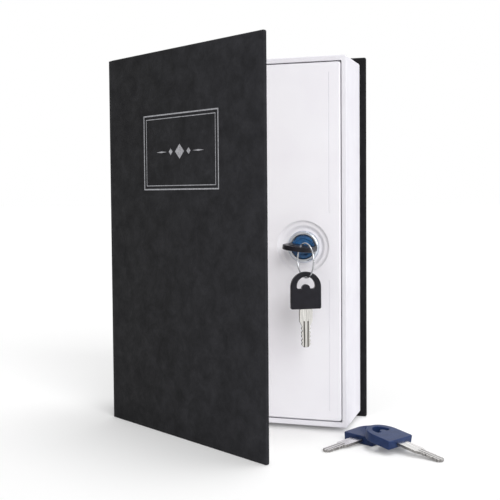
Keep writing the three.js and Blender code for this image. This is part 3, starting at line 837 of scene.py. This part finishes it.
dress(lock_barrel(), "lid", chrome, "chrome", "lock_barrel")
refined("lock_washer", "lid", zinc, "zinc_steel", bevel=0.1)
refined("lock_nut", "lid", zinc, "zinc_steel", bevel=0.3)
dress(lock_plug(), "lock_plug", lacquer, "blue_enamel", "lock_plug")
for number in range(1, WAFERS + 1):
    refined(f"lock_wafer_{number}", "lock_plug", brass, "brass", bevel=0.08)
refined("lock_cam", "lock_plug", zinc, "zinc_steel", bevel=0.2)
refined("cam_screw", "lock_plug", zinc, "zinc_steel", bevel=0.15)


# Keys

def arc(cx, cy, radius, start, end, steps):
    return [
        (cx + radius * math.cos(math.radians(a)), cy + radius * math.sin(math.radians(a)))
        for a in (start + (end - start) * i / steps for i in range(steps + 1))
    ]


def key_head(name, sizes, place):
    """Moulded head: straight shoulders at the blade, an arch above and a crescent hole."""
    length, width, thickness = sizes
    radius = width / 2
    outline = (
        arc(radius - HEAD_CORNER, -HEAD_CORNER, HEAD_CORNER, 0, 90, 5)
        + arc(-radius + HEAD_CORNER, -HEAD_CORNER, HEAD_CORNER, 90, 180, 5)
        + arc(0, -(length - radius), radius, 180, 360, 40)
    )
    middle = -(length - HOLE_FROM_TOP)
    ends, tail = middle + HOLE_DROP, HOLE_RADIUS - HOLE_DROP
    hole = (
        arc(0, middle, HOLE_RADIUS, 180, 360, 28)
        + arc(tail, middle, HOLE_DROP, 0, 90, 6)[1:]
        + arc(0, ends, BUMP_RADIUS, 0, -180, 14)
        + arc(-tail, middle, HOLE_DROP, 90, 180, 6)[:-1]
    )
    return plate(name, outline, hole[::-1], thickness, HEAD_EDGE, place)


lock_key_place = plug_turn @ Matrix.Translation((LOCK[0], PLUG_FRONT - KEY_STAND_OFF, LOCK[1]))
head_above_ring = WIRE_RADIUS - RING_RADIUS + RING_GAP + HOLE_FROM_TOP - HOLE_RADIUS
spare_place = (
    Matrix.Translation(RING_CENTRE + Vector((0, 0, head_above_ring - BLACK_HEAD[0])))
    @ Matrix.Rotation(math.radians(SPARE_KEY_TURN), 4, "Z")
    @ Matrix.Rotation(-math.pi / 2, 4, "X")
)


def key_blade(node, body, place, plating, painted_edge_shade):
    """A blade with its streaks laid along it, and painted shade on its steep faces and groove
    floors.
    """
    made = refined(node, body, plating, "nickel", bevel=0.12)
    mesh = made.data
    mesh.materials.append(painted_edge_shade)
    back = place.inverted()
    upright = back.to_3x3()
    layer = mesh.uv_layers.new(name="blank")
    groove, steep = 0.2, 0.5
    floor = max((back @ (v.co / MM)).z for v in mesh.vertices) - groove
    # Painted shade: steep faces and faces below the blade's top take the darker second material
    for face in mesh.polygons:
        if abs((upright @ face.normal).z) < steep or abs((back @ (face.center / MM)).z) < floor:
            face.material_index = 1
        for corner in face.loop_indices:
            spot = back @ (mesh.vertices[mesh.loops[corner].vertex_index].co / MM)
            layer.data[corner].uv = (spot.x * MM, spot.y * MM)


for body, place in (("lock_key", lock_key_place), ("spare_key", spare_place)):
    head = key_head(f"{body}_head_moulding", BLACK_HEAD, place)
    dress(head, body, black_abs, "black_plastic", f"{body}_head")
for body, blade_end, heading, lean in LOOSE_KEYS:
    lying = (
        Matrix.Translation(blade_end)
        @ Matrix.Rotation(math.radians(heading - 90), 4, "Z")
        @ Matrix.Rotation(math.radians(-lean), 4, "X")
    )
    head = key_head(f"{body}_head_moulding", BLUE_HEAD, lying)
    dress(head, body, blue_abs, "blue_plastic", f"{body}_head")
    key_blade(f"{body}_blade", body, lying, bright_nickel, bright_painted_shade_on_cuts)
for body, place in (("lock_key", lock_key_place), ("spare_key", spare_place)):
    key_blade(f"{body}_blade", body, place, nickel, painted_shade_on_cuts)


def key_ring():
    """Wire ring whose ends meet in a butt joint."""
    shell = Shell()
    upwards = Vector((0, 0, 1))
    across = Vector((math.sin(RING_TURN), -math.cos(RING_TURN), 0))
    sideways = across.cross(upwards)
    rings = []
    around, wire_steps, joint = 128, 12, 1
    for i in range(around + 1):
        angle = math.radians(joint + (360 - 2 * joint) * i / around)
        outward = across * math.cos(angle) + upwards * math.sin(angle)
        rings.append([
            RING_CENTRE + outward * RING_RADIUS
            + (outward * math.cos(turn) + sideways * math.sin(turn)) * WIRE_RADIUS
            for turn in (TURN * j / wire_steps for j in range(wire_steps))
        ])
    made = shell.loft(rings)
    shell.fill(made[0])
    shell.fill(made[-1])
    return shell.build("key_ring_wire")


dress(key_ring(), "key_ring", wire, "wire", "key_ring")


# Table, light and camera

def seen_rays(tree):
    """One for rays from the camera, a mirror or a clear surface, and nought for the others."""
    path = add(tree, "ShaderNodeLightPath", {})
    seen = path.outputs["Is Camera Ray"]
    for name in ("Is Glossy Ray", "Is Transmission Ray"):
        also = path.outputs[name]
        seen = add(tree, "ShaderNodeMath", {"operation": "MAXIMUM"}, input0=seen, input1=also)
    return seen


def table():
    """White table. What is seen of it directly is lifted to white, and shadows stay on it."""
    made = bpy.data.materials.new("white_studio_table")
    made.use_nodes = True
    tree = made.node_tree
    tree.nodes.clear()
    matt = add(tree, "ShaderNodeBsdfDiffuse", {"Color": linear("#eeeeee")})
    seen = seen_rays(tree)
    share = 0.12
    lift = add(tree, "ShaderNodeMath", {"operation": "MULTIPLY", 1: share}, input0=seen)
    glow = add(tree, "ShaderNodeEmission", {"Color": linear("#ffffff")}, Strength=lift)
    both = add(tree, "ShaderNodeAddShader", {}, input0=matt, input1=glow)
    add(tree, "ShaderNodeOutputMaterial", {}, Surface=both)
    shell = Shell()
    reach = 9000
    corners = ((-reach, -reach), (reach, -reach), (reach, reach), (-reach, reach))
    shell.fill(shell.ring([(x, y, 0) for x, y in corners]))
    top = shell.build("table_top")
    top.data.materials.append(made)


def studio():
    """Broad lamps overhead, in front and at the right, and even white surroundings.

    The surroundings light the book with half the strength that they are seen with.
    """
    world = bpy.data.worlds.new("studio_world")
    bpy.context.scene.world = world
    world.use_nodes = True
    tree = world.node_tree
    tree.nodes.clear()
    seen = seen_rays(tree)
    strength = add(tree, "ShaderNodeMapRange", {"To Min": 0.5, "To Max": 1.0}, Value=seen)
    sky = add(tree, "ShaderNodeBackground", {"Color": linear("#ffffff")}, Strength=strength)
    add(tree, "ShaderNodeOutputWorld", {}, Surface=sky)
    for name, towards, power, spread in (
        ("top_lamp", (0.1, 0.15, 1), 1.05, 30),
        ("front_lamp", (0.62, -0.75, 0.48), 1.68, 40),
        ("right_lamp", (0.8, 0.4, 0.5), 0.15, 50),
    ):
        lamp = bpy.data.lights.new(name, "SUN")
        lamp.energy = power
        lamp.angle = math.radians(spread)
        made = bpy.data.objects.new(name, lamp)
        made.rotation_euler = Vector(towards).to_track_quat("Z", "Y").to_euler()
        bpy.context.collection.objects.link(made)


def camera():
    """Focal length, place in metres and turn that put the book's corners as the photo has them."""
    place = Vector((0.1862, -0.6324, 0.1515))
    yaw, pitch, roll = (math.radians(a) for a in (18.78, 2.75, -0.54))
    level = Vector((-math.sin(yaw), math.cos(yaw), 0))
    ahead = level * math.cos(pitch) - Vector((0, 0, math.sin(pitch)))
    right = Vector((math.cos(yaw), math.sin(yaw), 0))
    up = right.cross(ahead)
    right, up = (
        right * math.cos(roll) + up * math.sin(roll),
        up * math.cos(roll) - right * math.sin(roll),
    )
    lens = bpy.data.cameras.new("camera")
    lens.sensor_width = 36
    lens.lens = 68.36
    lens.shift_x = 0.0686
    lens.shift_y = -0.0232
    made = bpy.data.objects.new("camera", lens)
    turn = Matrix((right, up, -ahead)).transposed().to_4x4()
    made.matrix_world = Matrix.Translation(place) @ turn
    bpy.context.collection.objects.link(made)
    bpy.context.scene.camera = made


table()
studio()
camera()
bpy.context.scene.view_settings.view_transform = "Standard"
